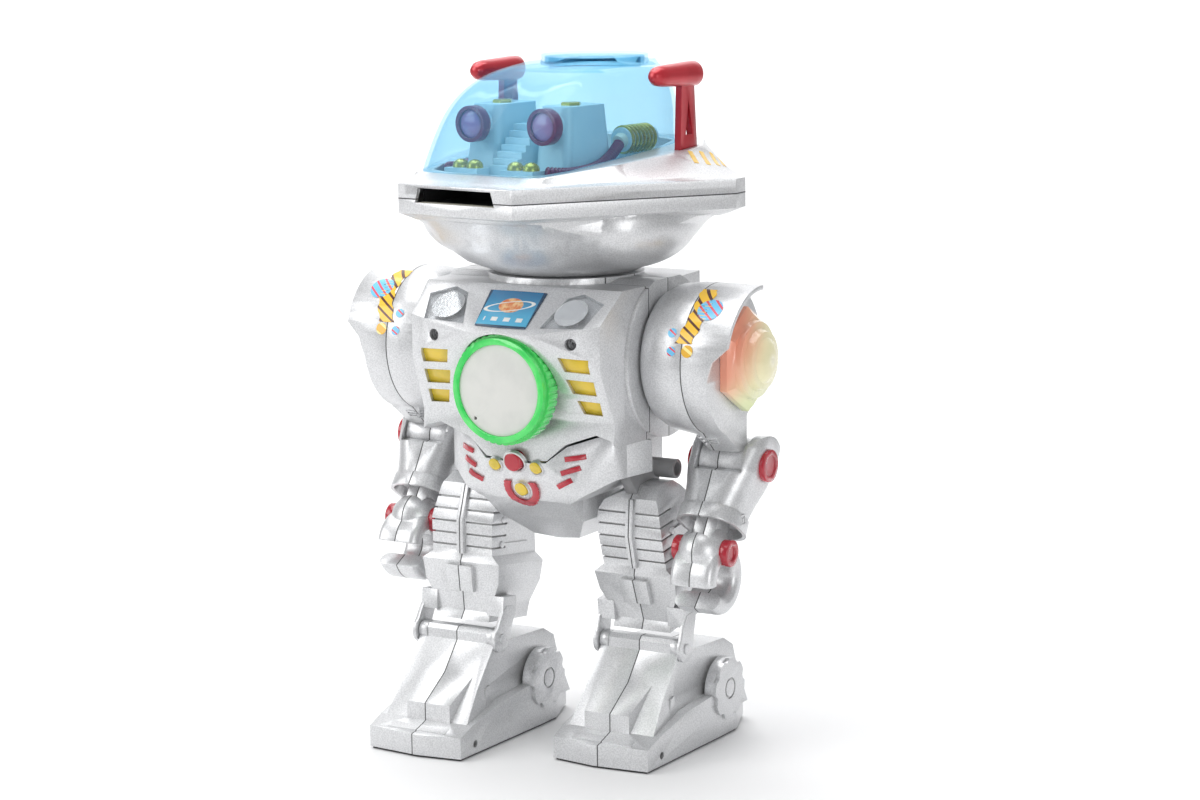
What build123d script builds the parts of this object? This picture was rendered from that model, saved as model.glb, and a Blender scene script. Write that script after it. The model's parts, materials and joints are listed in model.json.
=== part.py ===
# Walking toy robot with a disc-shooting head, hinged arms and shuffling legs.
# Millimetres. +Z up, the front looks along -Y, the robot's left side is +X.
import os
from math import cos, sin, radians, pi
from build123d import *

os.makedirs("parts", exist_ok=True)

# ---- driving dimensions
shiftY = 9.7          # brings the middle of the whole robot over the origin
wall = 2.0            # moulded shell thickness
gap = 0.4             # clearance between parts that move past each other
headYaw = -7.0        # the head rests turned a little to the robot's right
legLean = 7.3         # each leg's swing at rest: left one back, right one forward
neckR = 37.0
neckZ = 235.0
shoulderZ = 196.0     # shoulder axis, straight across at y = 0
podIn, podOut, podR = 58.0, 108.0, 37.0
elbowY, elbowZ = 13.0, 143.0
foreLean = 33.8       # forearm angle forward of hanging straight down
foreLength = 47.0
armMid = 83.5         # seam plane of an arm
handTurn = 20.0       # the right hand rests turned up by this much
legLength, restAnkleZ = 98.0, 52.0
hipY, hipZ = -20.0, restAnkleZ + legLength * cos(radians(legLean))
legMid = 45.5         # seam plane of a leg and its foot
ankleY, ankleZ = hipY, hipZ - legLength    # with the leg hanging straight down
bandLow, bandHigh, seamZ = 269.0, 283.0, 276.0
ringY, ringZ, ringR = -66.0, 184.0, 25.4


# ---- outlines and solids
def grown(points, d):
    """The same outline with every edge moved outwards by d."""
    area = sum(a[0] * b[1] - b[0] * a[1] for a, b in zip(points, points[1:] + points[:1]))
    turn = 1 if area > 0 else -1
    edges = []
    for a, b in zip(points, points[1:] + points[:1]):
        dx, dy = b[0] - a[0], b[1] - a[1]
        length = (dx * dx + dy * dy) ** 0.5
        nx, ny = turn * dy / length, -turn * dx / length
        edges.append((nx, ny, nx * a[0] + ny * a[1] + d))
    moved = []
    for (ax, ay, ac), (bx, by, bc), (x, y) in zip(edges[-1:] + edges[:-1], edges, points):
        det = ax * by - ay * bx
        straight = abs(det) < 1e-6
        moved.append((x + bx * d, y + by * d) if straight else ((ac * by - bc * ay) / det, (ax * bc - bx * ac) / det))
    return moved


def flat(points, grow=0.0):
    return make_face(Polyline(*(grown(points, grow) if grow else points), close=True))


def alongX(points, x0, x1, grow=0.0):
    return Pos(x0, 0, 0) * extrude(Plane.YZ * flat(points, grow), x1 - x0)


def alongY(points, y0, y1, grow=0.0):
    return Pos(0, y1, 0) * extrude(Plane.XZ * flat(points, grow), y1 - y0)


def alongZ(points, z0, z1, grow=0.0):
    return Pos(0, 0, z0) * extrude(flat(points, grow), z1 - z0)


def block(x0, x1, y0, y1, z0, z1):
    return Pos((x0 + x1) / 2, (y0 + y1) / 2, (z0 + z1) / 2) * Box(x1 - x0, y1 - y0, z1 - z0)


def rodX(y, z, r, x0, x1):
    return Pos((x0 + x1) / 2, y, z) * Rot(0, 90, 0) * Cylinder(r, x1 - x0)


def rodY(x, z, r, y0, y1):
    return Pos(x, (y0 + y1) / 2, z) * Rot(90, 0, 0) * Cylinder(r, y1 - y0)


def rodZ(x, y, r, z0, z1):
    return Pos(x, y, (z0 + z1) / 2) * Cylinder(r, z1 - z0)


def both(points):
    """Right half of a front or top outline, mirrored to the whole."""
    return points + [(-x, y) for x, y in reversed(points) if abs(x) > 1e-6]


def ruled(sections):
    """Loft with straight walls through outlines at given heights: [(z, points), ...]."""
    return loft([Pos(0, 0, z) * flat(points) for z, points in sections], ruled=True)


def mirrored(shape):
    return mirror(shape, about=Plane.YZ)


def joined(shapes):
    total = shapes[0]
    for shape in shapes[1:]:
        total = total + shape
    return total


def group(shapes):
    return Compound([s for shape in shapes for s in shape.solids()])


parts = {}


# ---- torso
torsoFront = both([(0, 147), (17, 148.5), (27, 157), (44, 163), (52, 161), (55.5, 157), (55.5, 232), (0, 232)])
torsoSide = [(60, 232), (-41, 232), (-66, 211.8), (-48, 169), (-50, 147), (60, 147)]
torsoTop = both([(0, -67.5), (17, -66.2), (52.8, -59.2), (55, -40), (55.5, 0), (52, 30), (50, 46), (0, 46)])
bossR = 40.0


def torsoBody(grow=0.0):
    body = alongX(torsoSide, -70, 70, grow) & alongY(torsoFront, -80, 80, grow) & alongZ(torsoTop, 100, 260, grow)
    for side in (-1, 1):
        body = body + rodX(0, shoulderZ, bossR + grow, side * 44 - 13 - grow, side * 44 + 13 + grow)
    keep = alongZ(both([(0, -80), (80, -80), (80, 46), (0, 46)]), 100, 234 + grow)
    return body & keep


chestTilt = 38.94      # upper chest slope, down towards the front
slopeMid = Pos(0, -53.5, 221.9) * Rot(chestTilt, 0, 0)


def onSlope(points, low, high):
    """Prism standing on the upper chest slope, heights measured from its surface."""
    return slopeMid * alongZ(points, low, high)


lampOutline = [(21.5, -11), (44.5, -9.5), (49, 7), (36, 12.5), (28, 9)]
slotRows = [(198.0, 30.8, 47.0, 7.0), (187.0, 32.5, 47.8, 7.2), (176.6, 36.0, 48.6, 6.8)]

shell = torsoBody() - torsoBody(-wall)
shell = shell + rodZ(0, 0, neckR + 1.5, 228, neckZ)
shell = shell - rodZ(0, 0, 20.5, 200, 250)
for side in (-1, 1):
    shell = shell + rodX(0, shoulderZ, 12, *sorted((side * 40, side * 56.6)))
    shell = shell - rodX(0, shoulderZ, 6.05, *sorted((side * 36, side * 60)))
    lamp = [(side * x, y) for x, y in lampOutline]
    shell = shell - onSlope(lamp, -1.6, 6)
    for zMid, xIn, xOut, tall in slotRows:
        lean = 0.16 * tall
        slot = [(side * xIn, zMid + tall / 2), (side * xOut, zMid + tall / 2 - 0.4),
                (side * xOut, zMid - tall / 2 - 0.4), (side * (xIn + lean * 2), zMid - tall / 2)]
        shell = shell - alongY(slot, -75, -40)
    shell = shell - rodY(side * 38.3, 208.3, 2.9, -80, -52)
shell = shell + (rodY(0, ringZ, ringR + 4.2, -64, -50) & torsoBody())
shell = shell - rodY(0, ringZ, ringR + 1.9, -80, ringY + 11) - rodY(0, ringZ, ringR - 3.6, -80, -45)
shell = shell - rodY(0, 147.5, 5.2, -60, -30)
for side in (-1, 1):
    screwBoss = rodY(side * 38.3, 208.3, 3.9, -58.5, -2) - rodY(side * 38.3, 208.3, 1.4, -60, -8)
    shell = shell + screwBoss
    shell = shell - rodY(side * 38.3, 208.3, 2.9, -80, -55.4)
frontHalf = block(-90, 90, -90, 0, 100, 260)
rearHalf = block(-90, 90, 0, 90, 100, 260)
parts["torso_front"] = shell & frontHalf
doorTop, doorLow, doorHalf = 212.0, 168.0, 31.0
rear = shell & rearHalf
rear = rear - block(-doorHalf, doorHalf, 40, 50, doorLow, doorTop)
rear = rear - block(-5.3, 5.3, 43, 50, 221.8, 227.2)
parts["torso_rear"] = rear

covers = []
for side in (-1, 1):
    lamp = [(side * x, y) for x, y in lampOutline]
    lens = slopeMid * loft([Pos(0, 0, -1.6) * flat(lamp, -0.15), Pos(0, 0, 0.6) * flat(lamp, -0.15)], ruled=True)
    crown = slopeMid * loft([Pos(0, 0, 0.6) * flat(lamp, -0.9), Pos(0, 0, 3.0) * flat(lamp, -3.4)], ruled=True)
    covers.append(lens + crown)
parts["chest_lamp_covers"] = group(covers)
parts["chest_badge"] = onSlope(both([(0, -12.6), (14.2, -12.2), (16, 11.4), (0, 11.6)]), 0.02, 0.7)


def ringFlutes():
    band = rodY(0, ringZ, ringR, ringY, ringY + 5) + rodY(0, ringZ, ringR + 1.6, ringY + 3.2, ringY + 11)
    for i in range(44):
        a = 2 * pi * i / 44
        band = band - rodY((ringR + 2.1) * cos(a), ringZ + (ringR + 2.1) * sin(a), 1.0, ringY - 1, ringY + 12)
    return band - rodY(0, ringZ, ringR - 3.2, ringY - 2, ringY + 14)


ring = ringFlutes()
parts["chest_ring"] = ring
disc = rodY(0, ringZ, ringR - 3.25, ringY + 0.9, ringY + 10)
disc = disc - rodY(0, ringZ, ringR - 5, ringY + 2.6, ringY + 12)
parts["chest_disc"] = disc - rodY(-13.5, 169.6, 0.9, ringY - 1, ringY + 12)

amber = []
for side in (-1, 1):
    lean = [(-60.5, 203), (-58.7, 203), (-44.5, 171), (-46.3, 171)]
    panel = alongX(lean, *sorted((side * 29.9, side * 49.5)))
    amber.append(panel & torsoBody(-wall - 0.05))

screws = []
for side in (-1, 1):
    head = rodY(side * 38.3, 208.3, 2.7, -57.0, -55.4)
    head = head - block(side * 38.3 - 2, side * 38.3 + 2, -57.6, -56.2, 207.9, 208.7)
    head = head - block(side * 38.3 - 0.4, side * 38.3 + 0.4, -57.6, -56.2, 206.3, 210.3)
    screws.append(head + rodY(side * 38.3, 208.3, 1.35, -55.6, -20))
parts["case_screws"] = group(screws)

# ---- pelvis, hung under the torso
pelvisFront = both([(0, 101.5), (13, 103), (24, 115), (24.3, 126), (46, 138.8), (56.5, 141), (56.5, 156), (44, 161.6),
                    (27, 155.8), (17, 147.6), (0, 146.6)])
pelvisSide = [(-53, 165), (-52, 148), (-42.5, 127), (-10, 101), (8, 101), (22, 118), (22, 165)]
pelvisTop = both([(0, -52.5), (17, -51), (30, -46), (46, -34), (56.5, -14), (56.5, 22), (0, 22)])


def pelvisBody(grow=0.0):
    return (alongX(pelvisSide, -70, 70, grow) & alongY(pelvisFront, -80, 80, grow)
            & alongZ(pelvisTop, 60, 200, grow))


pelvis = pelvisBody() - (pelvisBody(-wall) + (pelvisBody(-wall) & block(-60, 60, -60, 60, 100, 200)).moved(Location((0, 0, 2.2))))
cheekX = 41.2         # pelvis side walls that carry the hip pins
for side in (-1, 1):
    pelvis = pelvis + (block(*sorted((side * (cheekX - 2.2), side * cheekX)), -44, 22, 100, 161.6) & pelvisBody())
    pelvis = pelvis - block(*sorted((side * cheekX, side * 48.6)), -27.6, 60, 90, 200)
    pelvis = pelvis - block(*sorted((side * cheekX, side * 70)), -15, 60, 90, 200)
pelvis = pelvis - rodY(0, 147.5, 5.2, -60, -20)
lampSpots = [(-11.6, 144.9), (11.6, 144.9)]
for x, z in lampSpots:
    pelvis = pelvis - rodY(x, z, 3.1, -60, -30)
pelvis = pelvis - rodY(0, 132.5, 3.4, -60, -30)
for side in (-1, 1):
    pelvis = pelvis - rodX(0, shoulderZ, bossR + 0.1, *sorted((side * 30.5, side * 70)))
parts["pelvis_front"] = pelvis & block(-90, 90, -90, -28, 80, 200)
hipPost = []
for side in (-1, 1):
    hipPost.append(rodX(hipY, hipZ, 3.0, *sorted((side * 39.5, side * 49.5))))
pelvisBack = pelvis & block(-90, 90, -28, 90, 80, 200)
parts["pelvis_rear"] = joined([pelvisBack] + hipPost)

trim = []
barSpots = [(30.5, 150.4, 34.0, -8), (28.5, 144.2, 28.0, -18), (25.2, 137.6, 20.0, -28)]
for side in (-1, 1):
    for x, z, long, turn in barSpots:
        bar = Rot(0, side * turn, 0) * (block(-4.4, 4.4, -9, 9, -1.25, 1.25))
        bar = Pos(side * x, -42, z) * bar
        trim.append((bar & pelvisBody(0.7)) - pelvisBody(-0.9))
gearRing = rodY(0, 132.5, 9.6, -60, -20) - rodY(0, 132.5, 6.1, -60, -20)
for i in range(22):
    a = 2 * pi * i / 22
    gearRing = gearRing - rodY(9.9 * cos(a), 132.5 + 9.9 * sin(a), 0.55, -60, -20)
gearRing = gearRing - block(-12, 12, -60, -20, 136.5, 146)
trim.append((gearRing & pelvisBody(0.9)) - pelvisBody(-0.6))
parts["belt_trim"] = group(trim)
for piece in trim:
    parts["pelvis_front"] = parts["pelvis_front"] - piece
for x, z in lampSpots:
    parts["torso_front"] = parts["torso_front"] - rodY(x, z, 3.1, -60, -30)
    amber.append(rodY(x, z, 3.0, -60, -30) & pelvisBody(1.4) - pelvisBody(-1.6))
amber.append((rodY(0, 132.5, 3.3, -60, -30) & pelvisBody(1.6)) - pelvisBody(-1.8))
parts["amber_lenses"] = group(amber)
button = rodY(0, 147.5, 4.8, -54.5, -44)
parts["belt_button"] = button.fillet(1.4, button.edges().filter_by(GeomType.CIRCLE).group_by(Axis.Y)[0])

# ---- inside the torso
caseOuter = alongX([(-40, 200), (-12, 206), (6, 206), (6, 166), (-34, 166)], -26, 26)
caseInner = alongX([(-40, 200), (-12, 206), (6, 206), (6, 166), (-34, 166)], -24.4, 24.4, -1.6)
gearcase = caseOuter - caseInner
gearcase = gearcase + rodX(-14, 178, 5, 26, 34) + rodX(-14, 178, 5, -34, -26)
parts["gearbox"] = gearcase - rodX(-24, 190, 10.3, -25, 12)
parts["drive_motor"] = rodX(-24, 190, 10.1, -23, 4) + rodX(-24, 190, 1.2, 4, 16)
cells = [Pos(x, 25, 190) * Cylinder(6.9, 42) + Pos(x, 25, 212) * Cylinder(2.4, 2.0) for x in (-22.5, -7.5, 7.5, 22.5)]
parts["batteries"] = group(cells)
tray = block(-31, 31, 15.6, 17.2, 167, 213.5) + block(-31, 31, 15.6, 39, 166, 168.4) + block(-31, 31, 15.6, 39, 213.2, 215)
parts["torso_rear"] = parts["torso_rear"] + tray + block(-31, -29.8, 15.6, 44.4, 166, 215) + block(29.8, 31, 15.6, 44.4, 166, 215)
parts["torso_rear"] = parts["torso_rear"] - block(-29.6, 29.6, 36, 50, doorLow, doorTop)
door = block(-29.2, 29.2, 43.6, 45.8, doorLow + 0.4, doorTop - 0.4)
for i in range(5):
    door = door - block(-9, 9, 45.2, 47, 196 + 2.4 * i, 197 + 2.4 * i)
parts["battery_cover"] = door
knob = block(-2.6, 2.6, 42.6, 47.4, 222.4, 226.6) + block(-7.6, 7.6, 41.6, 43.4, 222.4, 226.6)
parts["power_switch"] = knob

# ---- head, built facing straight ahead
headPlan = both([(0, -86), (34.5, -85.5), (92.2, 13.5), (90.6, 24), (65, 55), (34, 65), (0, 66)])
deckSlope = 0.09      # the dome's seat climbs towards the back
deckPlan = both([(0, -66), (20, -65.5), (33, -61), (38.5, -47), (40, -15), (41, 19), (34.5, 43), (17, 50.5), (0, 50.8)])


def deckZ(y):
    return 287.0 + deckSlope * (y + 66)


def tiltedFace(points, lift=0.0, grow=0.0):
    seat = Plane(origin=(0, -66, 287 + lift), x_dir=(1, 0, 0), z_dir=(0, -deckSlope, 1))
    local = [(x, (y + 66) * (1 + deckSlope ** 2) ** 0.5) for x, y in points]
    return seat * flat(local, grow)


def upperBody(grow=0.0):
    """Flat band, then a shoulder that closes in to the dome's seat."""
    shoulder = both([(0, -82), (33, -81.5), (87, 14), (84.8, 24), (61, 52), (32, 61), (0, 62)])
    base = alongZ(headPlan, seamZ - (8 if grow else 0), bandHigh + grow, grow)
    low = loft([Pos(0, 0, bandHigh + grow) * flat(headPlan, grow), Pos(0, 0, bandHigh + 1.2 + grow) * flat(shoulder, grow)],
               ruled=True)
    return base + low


def shoulderLoft(grow=0.0):
    shoulder = both([(0, -82), (33, -81.5), (87, 14), (84.8, 24), (61, 52), (32, 61), (0, 62)])
    seatPlan = both([(0, -69), (37.5, -68.5), (52, -26), (60, 16), (60, 32), (47, 52), (26, 58.5), (0, 60)])
    return loft([Pos(0, 0, bandHigh + 1.2 + grow) * flat(shoulder, grow), tiltedFace(seatPlan, 0.4 + grow, grow)],
                ruled=True)


upper = upperBody() + shoulderLoft()
hollow = upperBody(-wall) + shoulderLoft(-wall)
upper = upper - hollow
upper = upper + (alongZ(deckPlan, 281.0, 296, 1.8) & (upperBody() + shoulderLoft())) - alongZ(deckPlan, 282.9, 320)
upper = upper - alongZ(deckPlan, 270, 300, -3.5)
slotMouth = [(-22, 281.5), (22, 281.5), (24.2, 274.4), (-24.2, 274.4)]
mouth = alongY(slotMouth, -95, -60)
upper = upper - mouth
sockets = [block(side * 55 - 2.2, side * 55 + 2.2, 17, 33, 285, 300) for side in (-1, 1)]
upper = upper - joined(sockets)
parts["head_upper"] = upper

bowlProfile = [(0, 236), (36.8, 236), (38.5, 237), (50, 241.3), (62, 250), (70, 259.5), (78, 265.5), (92, 268.4),
               (92, 271), (0, 271)]


def bowl(grow=0.0):
    spun = Pos(0, 0, -grow * 1.15) * revolve(Plane.XZ * flat(bowlProfile), Axis.Z)
    rim = both([(0, -80), (32, -79.5), (86.5, 13.5), (84.4, 23.5), (61, 51), (32, 60), (0, 61)])
    return spun & alongZ(rim, 200, 300, grow)


chamfer = loft([Pos(0, 0, 265.2) * flat(both([(0, -78), (30, -77.5), (83, 13), (81, 23), (59, 49), (30, 57), (0, 58)])),
                Pos(0, 0, bandLow) * flat(headPlan)], ruled=True)
lower = bowl() + alongZ(headPlan, bandLow, seamZ) + chamfer
lobes = [Pos(side * 40, -6, 262) * scale(Sphere(1), by=(34, 40, 23)) for side in (-1, 1)]
lower = lower + (joined(lobes) & alongZ(headPlan, 238, 270))
inside = bowl(-wall) + alongZ(headPlan, 268, seamZ + 1, -wall)
lower = lower - inside - mouth
lower = lower + rodZ(0, 0, 20, 221, 240) + rodZ(0, 0, 25, 221, 224)
lower = lower - rodZ(0, 0, 17.5, 215, 250)
parts["head_lower"] = lower


def domeSection(z, front, rear, wide, grow=0.0):
    """Smooth closed outline of the canopy at one height."""
    f, r, w = front - grow, rear + grow, wide + grow
    deep = r - f
    right = [(0.44 * w, f + 0.2), (0.82 * w, f + 0.03 * deep), (0.95 * w, f + 0.17 * deep), (0.98 * w, f + 0.42 * deep),
             (w, f + 0.68 * deep), (0.86 * w, f + 0.93 * deep), (0.42 * w, r - 0.3)]
    points = [(0, f)] + right + [(0, r)] + [(-x, y) for x, y in reversed(right)]
    return Pos(0, 0, z) * make_face(Spline(*points, periodic=True))


domeRows = [(280, -71.5, 53.5, 43.5), (292, -68, 53.5, 42.5), (304, -61.5, 53, 41.5), (316, -52, 52.5, 40.5),
            (326, -40.5, 52, 36.5), (333, -25, 51.5, 30), (337, -4, 51, 24.5)]


def domeBody(grow=0.0):
    top = len(domeRows) - 1
    return loft([domeSection(z + (grow if i == top else 0), f, r, w, grow)
                 for i, (z, f, r, w) in enumerate(domeRows)])


collarY, collarR = 25.0, 26.0
seatCut = extrude(tiltedFace(both([(0, -120), (120, -120), (120, 120), (0, 120)]), 0.5), -60)
dome = domeBody() - domeBody(-1.6) - seatCut
dome = dome - rodZ(0, collarY, collarR + 1.0, 334.2, 350)
dome = dome + (rodZ(0, collarY, 40, 332.5, 334.2) & domeBody())
dome = dome + rodZ(0, collarY, collarR - 1.6, 332.5, 338.6) - rodZ(0, collarY, collarR - 3.2, 320, 345)
parts["dome"] = dome
lid = rodZ(0, collarY, collarR + 0.6, 334.6, 340) - rodZ(0, collarY, collarR - 1.2, 330, 338.9)
parts["hatch_lid"] = lid

deck = alongZ(deckPlan, 283.0, 285.0, -0.5)
console = []
for i in range(7):
    console.append(block(-7.5, 7.5, -50 + 3.2 * i, -20, 284, 290 + 3.1 * i))
for side in (-1, 1):
    pod = loft([Pos(side * 21.5, -21, 284) * RectangleRounded(21.5, 37, 4),
                Pos(side * 21, -20, 318) * RectangleRounded(18.5, 31, 5)])
    console.append(pod & domeBody(-2.4))
    console.append(rodY(side * 22, 309, 6.2, -44, -30))
    console.append(block(side * 17 - 10, side * 17 + 10, -60, -49, 284, 289) & domeBody(-2.4))
    console.append(rodY(side * 32, 300, 6.0, 3, 26) & domeBody(-2.4))
    console.append(block(side * 30 - 4, side * 30 + 4, 5, 24, 284, 300) & domeBody(-2.4))
parts["cockpit_deck"] = joined([deck] + console)
rings = []
for side in (-1, 1):
    eye = rodY(side * 22, 309, 8.8, -46.5, -41) - rodY(side * 22, 309, 6.9, -51, -44.6)
    eye = eye - rodY(side * 22, 309, 6.25, -44.1, -40)
    rings.append(eye + rodY(side * 22, 309, 2.1, -46.4, -44))
parts["eye_rings"] = group(rings)
hoses = []
for side in (-1, 1):
    spine = Spline((side * 31, -51, 287.8), (side * 35.2, -40, 287.6), (side * 35.4, -16, 290.0), (side * 32.6, 1.6, 299.2))
    hoses.append(sweep(Plane(origin=spine @ 0, z_dir=spine % 0) * Circle(2.2), path=spine))
parts["side_hoses"] = group(hoses)

guns = []
for side in (-1, 1):
    barrelLine = [(0, -3), (2.6, -2.2), (4.4, 0.4), (5.1, 4), (6.1, 27), (6.1, 31.5), (5.0, 32.6), (0, 32.6)]
    barrel = Pos(side * 55, 0, 331.2) * revolve(flat(barrelLine), Axis.Y)
    strut = alongX([(17.6, 287.5), (32.4, 287.5), (29.6, 329), (19.6, 329)], side * 55 - 1.8, side * 55 + 1.8)
    strut = strut - alongX([(22.4, 302), (28.2, 302), (25.0, 319)], side * 55 - 4, side * 55 + 4)
    guns.append(barrel + strut)
parts["blasters"] = group(guns)
motorY = 30.0
parts["launcher_motor"] = (rodZ(0, motorY, 9.8, 241, 262) + rodZ(0, motorY, 1.2, 262, 272)
                           + (block(-14, 14, motorY - 14, motorY + 14, 262, 264) - rodZ(0, motorY, 3, 261, 265)
                              - rodZ(0, motorY, 9.8, 255, 262)) + rodZ(0, motorY, 5, 260, 264))
wheel = rodZ(0, motorY, 17, 266, 270.5) - rodZ(0, motorY, 15.4, 265, 267.2)
for i in range(20):
    a = 2 * pi * i / 20
    wheel = wheel - rodZ(17.6 * cos(a), motorY + 17.6 * sin(a), 1.1, 260, 280)
parts["launcher_wheel"] = wheel - rodZ(0, motorY, 1.25, 260, 280)

# ---- arms, drawn on the left side
podProfile = [(podIn, 0), (podIn, 30), (60, 32.6), (66, 35.6), (76, podR), (podOut, podR), (podOut, 0)]


def podBody(grow=0.0):
    return Pos(0, 0, shoulderZ) * revolve(flat(podProfile, grow) & Pos(85, 60, 0) * Rectangle(200, 120), Axis.X)


hoodCut = [(96, 150), (96.8, 190), (100, 200), (107.5, 207), (108, 240), (140, 240), (140, 150)]


def bucket(grow=0.0):
    rows = [(180, 69, 106, -29, 33), (169, 73.6, 104, -22.5, 23.5), (160.2, 75.5, 101, -12.5, 18), (151.5, 77, 98, -3, 13)]
    return ruled([(z - (grow if z < 152 else 0), [(x0 + 5 - grow, y0 - grow), (x1 - 5 + grow, y0 - grow), (x1 + grow, y0 + 5 - grow),
                       (x1 + grow, y1 - 5 + grow), (x1 - 5 + grow, y1 + grow), (x0 + 5 - grow, y1 + grow),
                       (x0 - grow, y1 - 5 + grow), (x0 - grow, y0 + 5 - grow)]) for z, x0, x1, y0, y1 in rows])


def hexSeat(radius, near, far):
    spots = [(radius * cos(radians(30 + 60 * i)), shoulderZ + 1 + radius * sin(radians(30 + 60 * i))) for i in range(6)]
    return alongX(spots, near, far)


def upperArm():
    solid = podBody() + bucket()
    rearCut = alongZ([(96.8, 6), (89, 19), (89, 60), (140, 60), (140, 6)], 100, 260)
    rearWall = alongZ([(94.5, 4), (86.8, 17.4), (86.8, 60), (140, 60), (140, 4)], 100, 260)
    solid = solid - alongY(hoodCut, -60, 60) - block(96.8, 140, 2, 60, 100, 260) - (rearCut - hexSeat(26.8, 80, 96.8))
    cavity = (podBody(-2.2) + bucket(-2.2)) - block(94.5, 130, -60, 60, 100, 260) - (rearWall - hexSeat(24.6, 80, 94.5))
    solid = solid - cavity - rodX(0, shoulderZ, podR - 2.2, 96.8, 140)
    tongue = rodX(elbowY, elbowZ, 12.6, 73.4, 97.6) - rodX(elbowY, elbowZ, 10.4, 75.6, 82) - rodX(elbowY, elbowZ, 10.4, 85, 95.4)
    tongue = tongue + rodX(elbowY, elbowZ, 5.5, 73.4, 97.6)
    solid = solid + tongue + rodX(0, shoulderZ, 6.0, 38.2, 62) + rodX(0, shoulderZ, 8.5, 38.2, 39.6)
    return solid - rodX(elbowY, elbowZ, 3.06, 50, 120)


def jewel():
    hexagon = [(25.5 * cos(radians(30 + 60 * i)), 25.5 * sin(radians(30 + 60 * i))) for i in range(6)]
    small = [(0.86 * a, 0.86 * b) for a, b in hexagon]
    base = alongX(hexagon, 96.9, 100.5)
    taper = loft([Pos(100.5, 0, 0) * (Plane.YZ * flat(hexagon)), Pos(103.5, 0, 0) * (Plane.YZ * flat(small))], ruled=True)
    steps = [(102.5, 0), (102.5, 19.5), (106.0, 18.4), (106.4, 15.0), (109.9, 13.8), (110.3, 11.0), (112.7, 8.2),
             (113.5, 4.5), (113.7, 0)]
    return Pos(0, 0, shoulderZ + 1) * (base + taper + revolve(flat(steps), Axis.X))


def forearmFrame(shape):
    return Pos(armMid, elbowY, elbowZ) * Rot(-foreLean, 0, 0) * shape


foreRows = [(17, 38.8, 24, 7), (4, 38.8, 29, 8), (-8, 37.4, 30, 10), (-19, 33, 28.5, 11), (-29, 30.5, 28, 12)]


def foreLoft(grow=0.0):
    return loft([Pos(0.051 * (z + 29), 0, z) * RectangleRounded(w + 2 * grow, d + 2 * grow, r + grow) for z, w, d, r in foreRows],
                ruled=True)


def forearm():
    ears = rodX(0, 0, 14.4, -30, 30) + block(-30, 30, -30, 30, -60, -4)
    solid = foreLoft() & ears
    cuff = loft([Pos(0, 0, -27.5) * RectangleRounded(32.5, 30.5, 12.5), Pos(0, 0, -35) * RectangleRounded(33.5, 32, 13.5)],
                ruled=True)
    cuffHole = loft([Pos(0, 0, -30) * RectangleRounded(27.5, 25.5, 10), Pos(0, 0, -39) * RectangleRounded(31.5, 29.8, 12.5)],
                    ruled=True)
    solid = solid + cuff - cuffHole
    solid = solid - (foreLoft(-2.4) & block(-30, 30, -30, 30, -28, -14.5))
    solid = solid - rodX(0, 0, 13.2, -10.8, 14.8) - block(-10.8, 14.8, -30, 30, -1, 40)
    solid = solid - alongX([(0, -1), (-8, -5), (-12.5, -10), (-20, -12), (-30, -14), (-30, 40), (0, 40)], -10.8, 14.8)
    stem = block(-6, 6, -6, 6, -foreLength, -26) + rodX(0, -foreLength, 6.0, -6, 6)
    solid = solid + stem - rodX(0, -foreLength, 2.06, -20, 20) - rodX(0, 0, 3.0, -40, 40)
    return forearmFrame(solid)


def elbowCaps():
    pin = rodX(0, 0, 3.0, -17, 21)
    caps = []
    for side in (-1, 1):
        face = 21.6 if side > 0 else 17.9
        a, b = sorted((side * (face - 2), side * (face + 1.2)))
        caps.append(rodX(0, 0, 8.0, a, b) - rodX(0, 0, 5.2, *sorted((side * (face + 0.5), side * (face + 2)))))
    return forearmFrame(joined([pin] + caps))


wristY = elbowY - foreLength * sin(radians(foreLean))
wristZ = elbowZ - foreLength * cos(radians(foreLean))
clawY, clawZ = 1.2, -13.5      # claw centre seen from the wrist pin


def handHalf():
    """Outer half of the rounded wrist bulb over a C-shaped claw, seen from its wrist pin; gap towards the front."""
    offHalf = block(-40, 0, -60, 60, -60, 60)
    section = Pos(0, clawY + 13.0, clawZ) * RectangleRounded(23.6, 9.0, 3.8)
    hoop = revolve(section, Axis((0, clawY, clawZ), (1, 0, 0))) - offHalf
    a0, a1, far = radians(184), radians(226), 40
    wedge = [(clawY, clawZ), (clawY + far * cos(a0), clawZ + far * sin(a0)),
             (clawY + far * cos((a0 + a1) / 2) * 1.2, clawZ + far * sin((a0 + a1) / 2) * 1.2),
             (clawY + far * cos(a1), clawZ + far * sin(a1))]
    hoop = hoop - alongX(wedge, -30, 30)
    bulb = scale(Sphere(1), by=(12.6, 13.6, 12.6)) - offHalf - rodX(clawY, clawZ, 10.9, -30, 30)
    solid = hoop + bulb
    room = alongX([(-7, -6), (7, -7), (24, 2), (24, 24), (-6, 24), (-8, 6)], -6.4, 6.4)
    return solid - room - rodX(0, 0, 2.0, -30, 30)


def wristCaps(turn):
    shape = rodX(0, 0, 2.0, -13, 13)
    for side in (-1, 1):
        a, b = sorted((side * 10.5, side * 15.2))
        shape = shape + (rodX(0, 0, 6.6, a, b) - rodX(0, 0, 3.4, *sorted((side * 14.2, side * 16))))
    return Pos(armMid, wristY, wristZ) * Rot(-turn, 0, 0) * shape


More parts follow.
